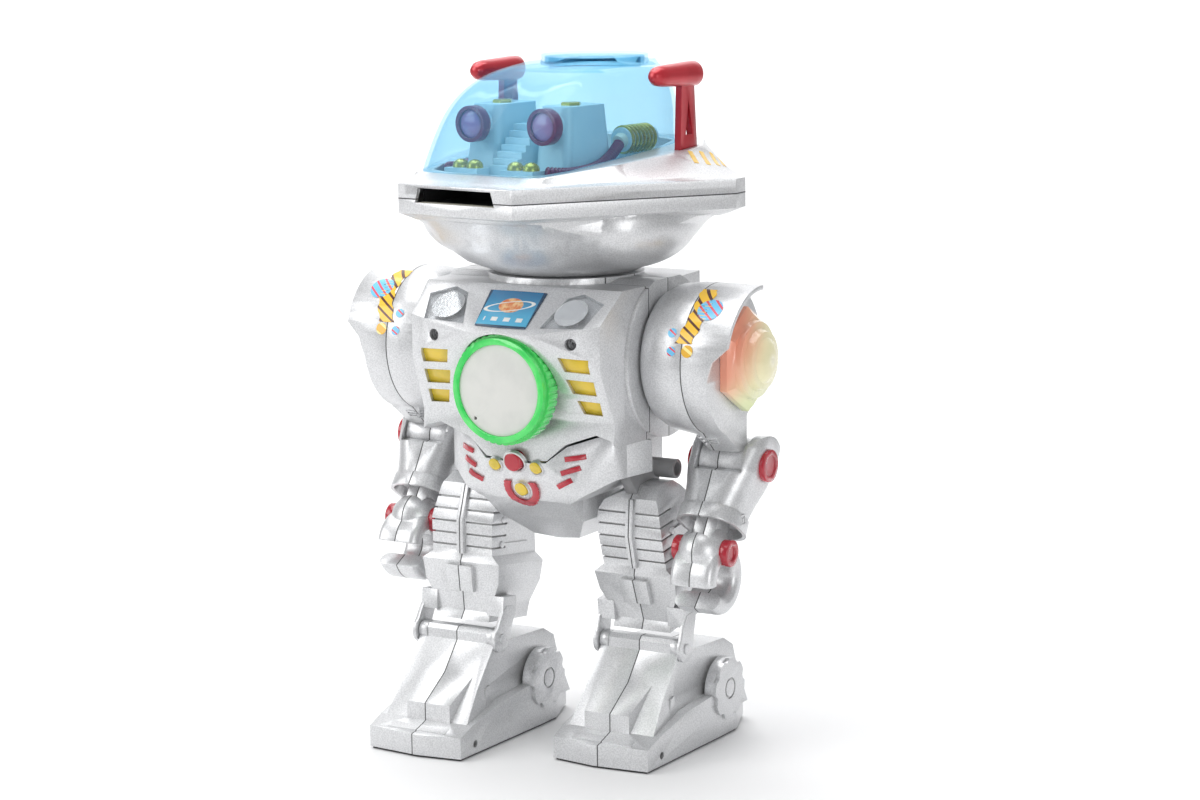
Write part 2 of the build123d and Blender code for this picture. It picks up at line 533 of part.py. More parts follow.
offInner = block(-20, armMid, -120, 120, 0, 300)
offOuter = block(armMid, 190, -120, 120, 0, 300)
armShape, foreShape, capShape, jewelShape, handOuter = upperArm(), forearm(), elbowCaps(), jewel(), handHalf()
for name, turn in (("left", 0.0), ("right", handTurn)):
    side = (lambda s: s) if name == "left" else mirrored
    wristShape = wristCaps(turn)
    seat = Pos(armMid, wristY, wristZ) * Rot(-turn, 0, 0)
    parts[name + "_upper_arm_inner"] = side(armShape - offOuter)
    parts[name + "_upper_arm_outer"] = side(armShape - offInner)
    parts[name + "_shoulder_jewel"] = side(jewelShape)
    parts[name + "_forearm_inner"] = side(foreShape - offOuter - capShape)
    parts[name + "_forearm_outer"] = side(foreShape - offInner - capShape)
    parts[name + "_elbow_caps"] = side(capShape)
    parts[name + "_hand_inner"] = side(seat * mirrored(handOuter) - wristShape)
    parts[name + "_hand_outer"] = side(seat * handOuter - wristShape)
    parts[name + "_wrist_caps"] = side(wristShape)

# ---- legs, drawn upright on the left side, then swung about the hip
thighSide = [(-14, 133), (-21, 127), (-24.5, 109), (-22, 92), (-23.5, 88), (-17.5, 63), (-20, 58.5), (17, 58.5),
             (19, 66), (19.5, 94), (14, 116), (5, 127), (0, 131)]
thighFront = [(-18.5, 120), (-15, 125.2), (0, 132.2), (12, 132.2), (15, 124), (17.5, 110), (17.5, 92), (22.5, 88), (21.5, 78),
              (16, 66), (16, 58.5), (-16, 58.5), (-16, 66), (-21.5, 78), (-22.5, 88), (-17.5, 92)]


def legBody(grow=0.0):
    return (alongX(thighSide, -40, 40, grow) & alongY(thighFront, -60, 60, grow))


def leg():
    shell = legBody() - legBody(-wall)
    for i, z in enumerate((95.5, 101.5, 107.5, 113.5, 119.5)):
        cut = block(-30, 30, -40, -10, z, z + 0.9)
        shell = shell - (cut - legBody(-1.1) - block(-2.6, 2.6, -40, 0, 90, 130))
    ridge = alongX([(-26.4, 109), (-24.4, 92), (-22, 92), (-22, 126), (-22.6, 127)], -1.9, 1.9)
    shell = shell + (ridge - legBody(-1.0))
    plate = alongX([(-25.6, 86), (-22.4, 73), (-19, 73), (-21, 86)], -7.5, 7.5)
    shell = shell + (plate - legBody(-1.0))
    for side in (-1, 1):
        a, b = sorted((side * 22.6, side * 24.5))
        ear = rodX(ankleY, ankleZ, 6.8, a, b) + alongX(
            [(ankleY - 6.8, ankleZ), (ankleY + 6.8, ankleZ), (-8, 65), (-11, 67.5), (-17, 67.5), (-21, 63)], a, b)
        root = block(*sorted((side * 15, side * 24.2)), -20, -8, 62, 72)
        shell = shell + ear + (root - legBody(-1.0))
        for zc in (97.5, 110.0):
            rib = block(*sorted((side * 17, side * 18.4)), -14, 10, zc - 0.7, zc + 0.7)
            shell = shell + rib + rodX(-14, zc, 1.7, *sorted((side * 16, side * 18.5)))
    shell = shell - rodX(ankleY, ankleZ, 2.56, -40, 40)
    panel = block(17.2, 17.6, -12, 6, 98, 124)
    return Pos(legMid, 0, 0) * (shell - panel)


def hanger():
    plate = alongX([(-18, 126), (4, 126), (4, 138), (hipY + 6.5, hipZ), (hipY - 6.5, hipZ), (-25, 139), (-20, 131)], -3.8, 2.6)
    plate = plate + rodX(hipY, hipZ, 6.5, -3.8, 2.6)
    plate = plate + rodX(3.0, 136.0, 4.8, -3.8, 13.5) - rodX(3.0, 136.0, 3.2, 5, 16)
    plate = plate - rodX(hipY, hipZ, 3.06, -10, 20)
    return Pos(legMid, 0, 0) * (plate - legBody())


footPlan = [(-26.5, -43), (-2.5, -46.2), (26.5, -43.6), (29.0, 30), (29.0, 45), (20, 69), (-20, 69), (-29, 45),
            (-29, 30)]


def foot():
    """Sole line at z = 1.2; y is measured from the ankle, and the toe is at -46."""
    slab = alongZ(footPlan, 1.2, 12) & alongX([(-50, 1.2), (-50, 10.5), (-36, 14), (70, 14), (70, 1.2)], -40, 40)
    lowBody = alongX([(-46, 6), (-46, 10.8), (-33, 15.5), (-5, 22), (20, 24), (50, 24), (69, 6)], -40, 40)
    lowBody = lowBody & alongZ(footPlan, 0, 40)
    upperBody = alongX([(-33, 10), (-33, 15), (-3.5, 49.5), (-3.5, 54.2), (-1.5, 56.2), (3.5, 56.2), (5.5, 54), (5.5, 49.5),
                        (44, 47.5), (54, 42), (66, 10)], -40, 40)
    topTaper = alongY([(-24.5, 8), (-22.0, 30), (-22.0, 60), (22.0, 60), (22.0, 30), (24.5, 8)], -60, 80)
    solid = slab + lowBody + (upperBody & topTaper)
    wedge = loft([Pos(-1.8, -33.5, 0) * (Plane.XZ * flat([(-12.5, 12), (12.5, 12), (12.5, 24.2), (-12.5, 24.2)])),
                  Pos(-1.8, -6, 0) * (Plane.XZ * flat([(-16.5, 14), (16.5, 14), (16.5, 41.5), (-16.5, 41.5)]))],
                 ruled=True)
    solid = solid + wedge
    for side in (-1, 1):
        for i in range(3):
            y = -27 + 6.2 * i
            z = 17.5 + 4.2 * i
            a, b = sorted((side * 13, side * (21.5 + 0.8 * i)))
            solid = solid + alongX([(y, z - 5), (y + 0.8, z + 3.2), (y + 4.4, z + 4.6), (y + 5.4, z - 3)], a, b)
    return solid


def footCavity():
    low = alongZ(footPlan, 0, 9, -2.4)
    high = alongX([(-29, 8), (-29, 12), (-1.5, 42), (-1.5, 51), (2, 53), (3, 46.5), (43, 45), (51, 40), (62, 8)], -19.5, 19.5)
    return low + high


def scallop():
    """Round side plate with nibbled edge, on the foot's outer and inner cheeks."""
    shape = rodX(35, 24.5, 15.6, 24, 30.5)
    for i in range(8):
        a = 2 * pi * (i + 0.3) / 8
        shape = shape - rodX(35 + 17.0 * cos(a), 24.5 + 17.0 * sin(a), 3.2, 28.6, 34)
    return shape - rodX(35, 24.5, 5.4, 29.8, 33) + rodX(35, 24.5, 4.4, 28, 30.5)


rollerY, rollerZ, rollerR = -33.0, 6.2, 6.2


def footWhole():
    solid = foot()
    left = scallop()
    solid = solid + left + mirrored(left)
    solid = solid - footCavity()
    for side in (-1, 1):
        a, b = sorted((side * 18, side * 23))
        solid = solid + rodX(0, restAnkleZ, 4.5, *sorted((side * 17.5, side * 22.0)))
        solid = solid + rodX(0, restAnkleZ, 2.5, *sorted((side * 21, side * 25.2)))
        bearing = block(*sorted((side * 15.5, side * 19.5)), rollerY - 4, rollerY + 4, 4, 12.5)
        solid = solid + bearing
    solid = solid - rodX(rollerY, rollerZ, 1.56, -24, 24)
    solid = solid - rodX(-30, 6, 1.9, 22, 40) - rodX(-30, 6, 1.9, -40, -22)
    solid = solid - block(-15.2, 15.2, rollerY - 8, rollerY + 8, -1, 13.4)
    return solid


def sole():
    plate = alongZ(footPlan, 0.0, 1.2, -1.0) - block(-15.2, 15.2, rollerY - 8, rollerY + 8, -1, 3)
    for i in range(5):
        plate = plate - block(-18, 18, 8 + 9 * i, 10 + 9 * i, -1, 0.6)
    return plate


def roller():
    shape = rodX(rollerY, rollerZ, rollerR, -14.6, 14.6) + rodX(rollerY, rollerZ, 1.5, -18.6, 18.6)
    for x in (-9, -3, 3, 9):
        shape = shape - (rodX(rollerY, rollerZ, 7, x - 0.5, x + 0.5) - rodX(rollerY, rollerZ, 5.6, x - 1, x + 1))
    return shape


def swung(shape, lean):
    return Pos(0, hipY, hipZ) * Rot(lean, 0, 0) * Pos(0, -hipY, -hipZ) * shape


def ankleAt(lean):
    dy, dz = ankleY - hipY, ankleZ - hipZ
    a = radians(lean)
    return hipY + dy * cos(a) - dz * sin(a), hipZ + dy * sin(a) + dz * cos(a)


legShape, hangerShape, footShape, soleShape, rollerShape = leg(), hanger(), footWhole(), sole(), roller()
for name, lean in (("left", legLean), ("right", -legLean)):
    side = (lambda s: s) if name == "left" else mirrored
    legIn, legOut = block(0, legMid, -99, 99, 0, 200), block(legMid, 99, -99, 99, 0, 200)
    parts[name + "_leg_inner"] = side(swung(legShape & legIn, lean))
    parts[name + "_leg_outer"] = side(swung(legShape & legOut, lean))
    parts[name + "_leg_hanger"] = side(swung(hangerShape, lean))
    y, z = ankleAt(lean)
    drop = Pos(legMid, y, z - restAnkleZ)
    inHalf, outHalf = block(-60, 0, -90, 90, -10, 90), block(0, 60, -90, 90, -10, 90)
    parts[name + "_foot_inner"] = side(drop * (footShape & inHalf))
    parts[name + "_foot_outer"] = side(drop * (footShape & outHalf))
    parts[name + "_sole"] = side(drop * soleShape)
    parts[name + "_roller"] = side(drop * rollerShape)

headNodes = ["head_upper", "head_lower", "dome", "hatch_lid", "cockpit_deck", "eye_rings", "side_hoses", "blasters",
             "launcher_motor", "launcher_wheel"]
for name, shape in parts.items():
    if name in headNodes:
        shape = Rot(0, 0, headYaw) * shape
    export_step(Pos(0, shiftY, 0) * shape, "parts/" + name + ".step")
    box = shape.bounding_box()
    print(name, len(shape.solids()), [round(v, 1) for v in (*box.min, *box.max)])
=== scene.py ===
# Toy robot: silver shells, blue canopy and green chest ring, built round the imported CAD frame.
import json
from math import cos, hypot, pi, radians, sin

import bmesh
import bpy
from mathutils import Matrix, Vector
from mathutils.bvhtree import BVHTree

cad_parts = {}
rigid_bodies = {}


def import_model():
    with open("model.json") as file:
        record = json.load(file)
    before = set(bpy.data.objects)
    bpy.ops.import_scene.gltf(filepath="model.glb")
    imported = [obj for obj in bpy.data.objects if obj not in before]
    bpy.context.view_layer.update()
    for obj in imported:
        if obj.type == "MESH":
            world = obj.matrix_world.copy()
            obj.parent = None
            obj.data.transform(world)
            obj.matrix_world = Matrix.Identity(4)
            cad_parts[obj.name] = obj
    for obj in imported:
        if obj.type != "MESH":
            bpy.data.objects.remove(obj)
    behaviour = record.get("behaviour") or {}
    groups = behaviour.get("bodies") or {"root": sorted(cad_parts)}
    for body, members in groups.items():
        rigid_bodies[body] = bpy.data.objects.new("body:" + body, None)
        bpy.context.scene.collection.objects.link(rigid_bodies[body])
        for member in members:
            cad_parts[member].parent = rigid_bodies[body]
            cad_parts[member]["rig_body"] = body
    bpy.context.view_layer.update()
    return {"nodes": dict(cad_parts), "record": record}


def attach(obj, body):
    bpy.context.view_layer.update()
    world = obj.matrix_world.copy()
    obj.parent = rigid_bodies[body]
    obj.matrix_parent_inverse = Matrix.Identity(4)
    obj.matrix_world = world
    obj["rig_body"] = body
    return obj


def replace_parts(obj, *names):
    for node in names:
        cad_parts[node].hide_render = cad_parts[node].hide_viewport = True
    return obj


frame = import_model()
nodes = frame["nodes"]

mm = 0.001
middleY = 9.7                 # the drawing's own origin sits this far in front, in mm
headYaw = radians(-7)
headSpot = Matrix.Translation((0, middleY * mm, 0)) @ Matrix.Rotation(headYaw, 4, "Z")
bodySpot = Matrix.Translation((0, middleY * mm, 0))
bodyOf = {name: obj["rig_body"] for name, obj in nodes.items()}
slotOf = {part["node"]: part["material_slot"] for part in frame["record"]["subparts"]}


# Shader nodes: sums of values read as ordinary maths.
class Value:
    # one output of a finish
    def __init__(self, finish, socket):
        self.finish, self.socket = finish, socket

    def math(self, kind, first, second=0.0):
        return self.finish.node("ShaderNodeMath", {"operation": kind}, {0: first, 1: second})

    def __add__(self, other):
        return self.math("ADD", self, other)

    def __radd__(self, other):
        return self.math("ADD", other, self)

    def __sub__(self, other):
        return self.math("SUBTRACT", self, other)

    def __rsub__(self, other):
        return self.math("SUBTRACT", other, self)

    def __mul__(self, other):
        return self.math("MULTIPLY", self, other)

    def __rmul__(self, other):
        return self.math("MULTIPLY", other, self)

    def __truediv__(self, other):
        return self.math("DIVIDE", self, other)

    def __abs__(self):
        return self.math("ABSOLUTE", self)

    def most(self, other):
        return self.math("MAXIMUM", self, other)

    def least(self, other):
        return self.math("MINIMUM", self, other)

    def power(self, other):
        return self.math("POWER", self, other)

    def sine(self):
        return self.math("SINE", self)

    def ramp(self, low, high, start=0.0, end=1.0):
        # start below low, end above high, smooth in between
        return self.finish.node("ShaderNodeMapRange", {"interpolation_type": "SMOOTHSTEP"},
                                {0: self, 1: low, 2: high, 3: start, 4: end})


class Finish:
    def __init__(self, name):
        self.material = bpy.data.materials.new(name)
        self.material.use_nodes = True
        self.tree = self.material.node_tree
        self.tree.nodes.clear()
        self.output = self.tree.nodes.new("ShaderNodeOutputMaterial")

    def node(self, kind, settings=None, sockets=None, out=0):
        made = self.tree.nodes.new(kind)
        for key, value in (settings or {}).items():
            setattr(made, key, value)
        for key, value in (sockets or {}).items():
            if isinstance(value, Value):
                self.tree.links.new(value.socket, made.inputs[key])
            else:
                made.inputs[key].default_value = value
        return Value(self, made.outputs[out])

    def place(self):
        return self.node("ShaderNodeTexCoord", out="Object")

    def axes(self):
        split = self.place()
        return [self.node("ShaderNodeSeparateXYZ", None, {0: split}, out=axis) for axis in "XYZ"]

    def noise(self, scale, detail=2.0, roughness=0.5):
        return self.node("ShaderNodeTexNoise", None,
                         {"Vector": self.place(), "Scale": scale, "Detail": detail, "Roughness": roughness},
                         out="Fac")

    def mix(self, first, second, share):
        def colour(c):
            return c if isinstance(c, Value) else (*c, 1)

        return self.node("ShaderNodeMix", {"data_type": "RGBA"},
                         {0: share, 6: colour(first), 7: colour(second)}, out=2)

    def bump(self, height, depth, strength=1.0):
        # depth in metres for a height of one
        return self.node("ShaderNodeBump", None, {"Strength": strength, "Distance": depth, "Height": height})

    def crease(self, distance):
        # one in open faces, near zero in tight corners of the same piece
        return self.node("ShaderNodeAmbientOcclusion", {"samples": 6, "only_local": True},
                         {"Distance": distance}, out="AO")

    def surface(self, **sockets):
        named = {key.replace("_", " "): (*v, 1) if isinstance(v, tuple) and len(v) == 3 else v
                 for key, v in sockets.items()}
        return self.node("ShaderNodeBsdfPrincipled", None, named)

    def show(self, shader):
        self.tree.links.new(shader.socket, self.output.inputs["Surface"])
        return self.material


# Finishes; lengths are in metres, colours are linear.
# the dark colour below is painted shade for corners and creases, also used for random smudges of dirt; the
# reach is how far the painted shade spreads
silver = {"base": (0.60, 0.605, 0.615), "grain": (0.74, 0.745, 0.755), "creaseShade": (0.10, 0.095, 0.085),
          "metal": 0.62, "rough": 0.33, "flakeScale": 1500, "shadeReach": 3.5 * mm,
          "seam": (0.03, 0.03, 0.032), "seamHalf": 0.28 * mm, "bumpDepth": 0.03 * mm}


def silverPaint(name, seamAxis=None, seamAt=0.0, shadeAmount=0.55):
    # metallic paint with painted shade in its corners, random smudges of dirt and, at one distance along an
    # axis, a dark mould seam
    f = Finish(name)
    flake = f.noise(silver["flakeScale"], 1.0)
    cloud = f.noise(30, 3.0)
    tone = f.mix(silver["base"], silver["grain"], flake.ramp(0.3, 0.7))
    # painted shade: darker in the piece's own corners and creases, found by ambient occlusion and broken up by
    # noise
    creaseShade = (1 - f.crease(silver["shadeReach"]).ramp(0.15, 0.85)) * shadeAmount * cloud.ramp(0.2, 0.7, 0.6, 1.0)
    smudge = f.noise(75, 5.0, 0.65).ramp(0.58, 0.78) * 0.10
    # painted corner shade and random smudges of dirt both darken the paint
    tone = f.mix(tone, silver["creaseShade"], creaseShade.most(smudge))
    rough = silver["rough"] + cloud * 0.08 + creaseShade * 0.3
    if seamAxis:
        along = f.axes()["XYZ".index(seamAxis)]
        line = 1 - (abs(abs(along) - seamAt)).ramp(silver["seamHalf"] * 0.6, silver["seamHalf"] * 1.5)
        tone = f.mix(tone, silver["seam"], line * 0.9)
        rough = rough + line * 0.4
    height = flake * 0.6 + f.noise(420, 2.0) * 0.4
    return f.show(f.surface(Base_Color=tone, Metallic=silver["metal"], Roughness=rough, Coat_Weight=0.12,
                            Coat_Roughness=0.12, Normal=f.bump(height, silver["bumpDepth"], 0.5)))


def plastic(name, base, shade, rough=0.22, coat=0.3, grain=900, depth=0.02, shadeAmount=0.35, metal=0.0):
    # solid plastic, clouded between two colours; depth of its grain in mm
    f = Finish(name)
    cloud = f.noise(60, 4.0, 0.6)
    tone = f.mix(base, shade, cloud.ramp(0.35, 0.7))
    # painted shade: darker in the piece's own corners and creases, found by ambient occlusion
    creaseShade = (1 - f.crease(2.5 * mm).ramp(0.2, 0.9)) * shadeAmount
    tone = f.mix(tone, tuple(c * 0.25 for c in shade), creaseShade)
    return f.show(f.surface(Base_Color=tone, Metallic=metal, Roughness=rough + cloud * 0.1, Coat_Weight=coat,
                            Coat_Roughness=0.06, Normal=f.bump(f.noise(grain, 2.0), depth * mm, 0.5)))


def clearFilm(name, tint, haze, hazeColour, rough=0.04):
    # tinted see-through plastic: what is behind it, a milky share of its own colour, and a glossy skin
    f = Finish(name)
    through = f.node("ShaderNodeBsdfTransparent", None, {"Color": (*tint, 1)})
    cloud = f.noise(35, 3.0)
    skin = f.surface(Base_Color=f.mix(hazeColour, tuple(c * 0.85 for c in hazeColour), cloud),
                     Roughness=rough + cloud * 0.05, Coat_Weight=0.6, Coat_Roughness=0.03)
    rim = f.node("ShaderNodeLayerWeight", None, {"Blend": 0.28}, out="Facing")
    share = (haze + rim * 0.26 + cloud * 0.03).least(0.95)
    return f.show(f.node("ShaderNodeMixShader", None, {0: share, 1: through, 2: skin}))


# the edge colour is painted shade for the jewel's corners
jewel = {"yellow": (0.86, 0.80, 0.50), "green": (0.70, 0.78, 0.42), "pink": (0.90, 0.34, 0.22),
         "edge": (0.55, 0.36, 0.22), "middleX": 0.105, "middleZ": 0.197, "greenBelow": 0.192}


def jewelPaint(name):
    # milky plastic that runs from pink in front, above, to pale yellow outward and green below, with painted
    # shade in its corners
    f = Finish(name)
    x, y, z = f.axes()
    cloud = f.noise(70, 3.0)
    forward = (y * -25 + (z - jewel["middleZ"]) * 14 + (abs(x) - jewel["middleX"]) * -26 + 0.42
               + cloud * 0.2).ramp(0.15, 0.95)
    below = ((jewel["greenBelow"] - z) * 42).ramp(0.0, 1.0)
    tone = f.mix(f.mix(jewel["yellow"], jewel["green"], below), jewel["pink"], forward * (1 - below * 0.6))
    # painted shade: a brown darkening in the jewel's own corners, found by ambient occlusion
    edge = 1 - f.crease(2.0 * mm).ramp(0.2, 0.9)
    return f.show(f.surface(Base_Color=f.mix(tone, jewel["edge"], edge * 0.4), Roughness=0.2 + cloud * 0.08,
                            Coat_Weight=0.6, Coat_Roughness=0.05))


paints = {
    "silverTorso": silverPaint("silverTorso", "Y", middleY * mm),
    "silverArm": silverPaint("silverArm", "X", 83.5 * mm),
    "silverLeg": silverPaint("silverLeg", "X", 45.5 * mm),
    "silverHead": silverPaint("silverHead", "Z", 276 * mm, shadeAmount=0.4),
    "silverPlain": silverPaint("silverPlain", shadeAmount=0.5),
    "blueCanopy": clearFilm("blueCanopy", (0.83, 0.945, 0.987), 0.03, (0.12, 0.52, 0.88)),
    "lampCover": clearFilm("lampCover", (0.95, 0.96, 0.97), 0.10, (0.80, 0.82, 0.84)),
    "greenClear": plastic("greenClear", (0.02, 0.62, 0.09), (0.10, 0.78, 0.16), 0.14, 0.8, 700, 0.03, 0.5),
    "whiteDisc": plastic("whiteDisc", (0.70, 0.70, 0.665), (0.64, 0.645, 0.615), 0.42, 0.1, 1600, 0.02, 0.2),
    "amberClear": plastic("amberClear", (0.80, 0.56, 0.03), (0.55, 0.42, 0.03), 0.18, 0.6, 500, 0.04, 0.8),
    "redGloss": plastic("redGloss", (0.50, 0.012, 0.03), (0.40, 0.008, 0.025), 0.16, 0.7, 800, 0.01, 0.5),
    "redMetal": plastic("redMetal", (0.55, 0.02, 0.035), (0.46, 0.012, 0.025), 0.26, 0.5, 1500, 0.02, 0.4,
                        0.35),
    "redHose": plastic("redHose", (0.30, 0.008, 0.05), (0.22, 0.006, 0.04), 0.3, 0.3, 900, 0.02, 0.6),
    "blackRubber": plastic("blackRubber", (0.03, 0.03, 0.032), (0.05, 0.05, 0.05), 0.6, 0.0, 1800, 0.05, 0.3),
    "blackPlastic": plastic("blackPlastic", (0.02, 0.02, 0.022), (0.03, 0.03, 0.03), 0.4, 0.1),
    "greyPlastic": plastic("greyPlastic", (0.20, 0.20, 0.205), (0.27, 0.27, 0.275), 0.45, 0.1, 1100, 0.04),
    "steel": plastic("steel", (0.55, 0.55, 0.56), (0.42, 0.42, 0.43), 0.25, 0.0, 1300, 0.03, 0.7, 0.95),
    "cellWrap": plastic("cellWrap", (0.04, 0.05, 0.07), (0.06, 0.06, 0.09), 0.25, 0.4),
    "paleDeck": plastic("paleDeck", (0.66, 0.76, 0.80), (0.58, 0.70, 0.76), 0.3, 0.3),
    "cream": plastic("cream", (0.78, 0.76, 0.64), (0.70, 0.68, 0.56), 0.35, 0.2),
    "jewelMilk": jewelPaint("jewelMilk"),
}


paintOfSlot = {
    "clear_lamp": "lampCover", "green_clear": "greenClear", "white_disc": "whiteDisc", "screw_steel": "steel",
    "red_trim": "redGloss", "amber_clear": "amberClear", "grey_plastic": "greyPlastic", "motor_steel": "steel",
    "battery_wrap": "cellWrap", "black_plastic": "blackPlastic", "blue_clear": "blueCanopy",
    "pale_deck": "paleDeck", "red_hose": "redHose", "red_metallic": "redMetal", "black_rubber": "blackRubber",
    "jewel_clear": "jewelMilk", "badge_print": "silverPlain",
}


def paintFor(node):
    if slotOf[node] in paintOfSlot:
        return paintOfSlot[slotOf[node]]
    if node.startswith("torso"):
        return "silverTorso"
    if node.startswith("head"):
        return "silverHead"
    if "_leg_" in node or "_foot_" in node:
        return "silverLeg"
    return "silverArm" if node.startswith(("left_", "right_")) else "silverPlain"


# Moulded edges: a welded copy of each CAD node with its sharp edges rounded; radii in mm.
weld = {"gap": 0.004 * mm, "flat": radians(0.6), "sharp": radians(32)}
edgeRadius = {
    "torso_front": 0.9, "torso_rear": 0.9, "pelvis_front": 0.8, "pelvis_rear": 0.5, "head_upper": 0.8,
    "head_lower": 0.7, "leg": 0.6, "foot": 0.8, "upper_arm": 0.7, "forearm": 0.7, "hand": 0.6, "cap": 0.5,
    "jewel": 0.7, "blasters": 0.7, "button": 0.3, "disc": 0.5, "cockpit_deck": 0.7, "other": 0.3,
}


def radiusFor(node):
    for key, value in edgeRadius.items():
        if node.endswith(key) or key in node:
            return value
    return edgeRadius["other"]


def softened(node, name):
    work = bmesh.new()
    work.from_mesh(nodes[node].data)
    bmesh.ops.remove_doubles(work, verts=work.verts, dist=weld["gap"])
    bmesh.ops.dissolve_limit(work, angle_limit=weld["flat"], verts=work.verts, edges=work.edges)
    for face in work.faces:
        face.smooth = True
    for layer in list(work.loops.layers.uv):
        work.loops.layers.uv.remove(layer)
    fresh = bpy.data.meshes.new(name)
    work.to_mesh(fresh)
    work.free()
    piece = bpy.data.objects.new(name, fresh)
    bpy.context.scene.collection.objects.link(piece)
    edge = piece.modifiers.new("edges", "BEVEL")
    edge.width, edge.segments, edge.limit_method = radiusFor(node) * mm, 2, "ANGLE"
    edge.angle_limit, edge.harden_normals, edge.use_clamp_overlap = weld["sharp"], True, True
    fresh.materials.append(bpy.data.materials[paintFor(node)])
    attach(piece, bodyOf[node])
    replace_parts(piece, node)


for node in sorted(nodes):
    softened(node, node + "_soft")
print("shells: rounded copies made")


# Printed labels, all invented shapes.
chest = {"y": -53.5, "z": 221.9, "tilt": radians(38.94)}     # the slope that carries badge and lamps
badge = {"halfWidth": 15 * mm, "halfHeight": 12 * mm, "border": (0.02, 0.06, 0.12), "white": (0.92, 0.92, 0.88)}


def badgePrint():
    # sky field with a warm planet, its ring and a row of pale bars
    f = Finish("badgePrint")
    x, y, z = f.axes()
    u = x / badge["halfWidth"]
    v = ((y - (middleY + chest["y"]) * mm) * cos(chest["tilt"])
         + (z - chest["z"] * mm) * sin(chest["tilt"])) / badge["halfHeight"]
    sky = f.mix((0.03, 0.20, 0.42), (0.10, 0.52, 0.80), (v * -0.5 + 0.5).ramp(0.0, 1.0))
    planet = 1 - ((u * u * 1.3 + (v - 0.15) * (v - 0.15) * 1.6).power(0.5)).ramp(0.48, 0.52)
    warm = f.mix((0.78, 0.20, 0.05), (0.95, 0.62, 0.30), f.noise(420, 3.0).ramp(0.35, 0.65))
    tone = f.mix(sky, warm, planet)
    ringGap = (((u + v * 0.35) * 0.95).power(2.0) + ((v - 0.1 - u * 0.25) * 3.4).power(2.0)).power(0.5)
    ring = 1 - (abs(ringGap - 0.86)).ramp(0.05, 0.09)
    tone = f.mix(tone, badge["white"], ring)
    bars = ((x * 900).sine()).ramp(-0.1, 0.1) * (1 - (abs(v + 0.62)).ramp(0.09, 0.12))
    tone = f.mix(tone, (0.93, 0.93, 0.9), bars * (1 - (abs(u)).ramp(0.72, 0.76)))
    rim = (abs(u)).ramp(0.93, 0.97).most((abs(v)).ramp(0.92, 0.96))
    tone = f.mix(tone, badge["border"], rim)
    return f.show(f.surface(Base_Color=tone, Roughness=0.2 + f.noise(200) * 0.1, Coat_Weight=0.5,
                            Coat_Roughness=0.08))


def labelPrint(name, first, second, accent, pitch):
    # two inks that fade into each other, with slanted dashes of a third
    f = Finish(name)
    x, y, z = f.axes()
    tone = f.mix(first, second, ((z - y) * (1 / (60 * mm)) - 3.0 + f.noise(160) * 0.4).ramp(0.0, 1.0))
    dash = ((x + z * 1.6) * pitch).sine().ramp(0.55, 0.7)
    tone = f.mix(tone, accent, dash)
    return f.show(f.surface(Base_Color=tone, Roughness=0.22 + f.noise(300) * 0.08, Coat_Weight=0.4,
                            Coat_Roughness=0.08))


paints.update({
    "badgePrint": badgePrint(),
    "bandPrint": labelPrint("bandPrint", (0.82, 0.12, 0.02), (0.92, 0.55, 0.04), (0.10, 0.03, 0.02), 900),
    "bluePrint": labelPrint("bluePrint", (0.04, 0.28, 0.62), (0.16, 0.55, 0.85), (0.75, 0.08, 0.12), 1100),
    "yellowPrint": labelPrint("yellowPrint", (0.90, 0.60, 0.06), (0.80, 0.44, 0.03), (0.95, 0.80, 0.30), 700),
    "lensPink": plastic("lensPink", (0.58, 0.20, 0.36), (0.42, 0.18, 0.40), 0.14, 0.8, 500, 0.01, 0.3),
    "stripeInk": plastic("stripeInk", (0.90, 0.58, 0.06), (0.82, 0.50, 0.04), 0.3, 0.3, 900, 0.01, 0.3),
    "goldTrim": plastic("goldTrim", (0.72, 0.55, 0.08), (0.55, 0.42, 0.05), 0.22, 0.5, 900, 0.02, 0.4, 0.6),
    "chrome": plastic("chrome", (0.86, 0.87, 0.88), (0.72, 0.73, 0.74), 0.08, 0.0, 900, 0.03, 0.5, 1.0),
})
for node, paint in (("chest_badge", "badgePrint"), ("eye_rings", "redHose")):
    bpy.data.objects[node + "_soft"].data.materials[0] = paints[paint]


# Mesh makers: sizes in mm, seats are matrices in metres.
hardAngle = 38      # degrees between faces above which an added piece keeps a sharp edge


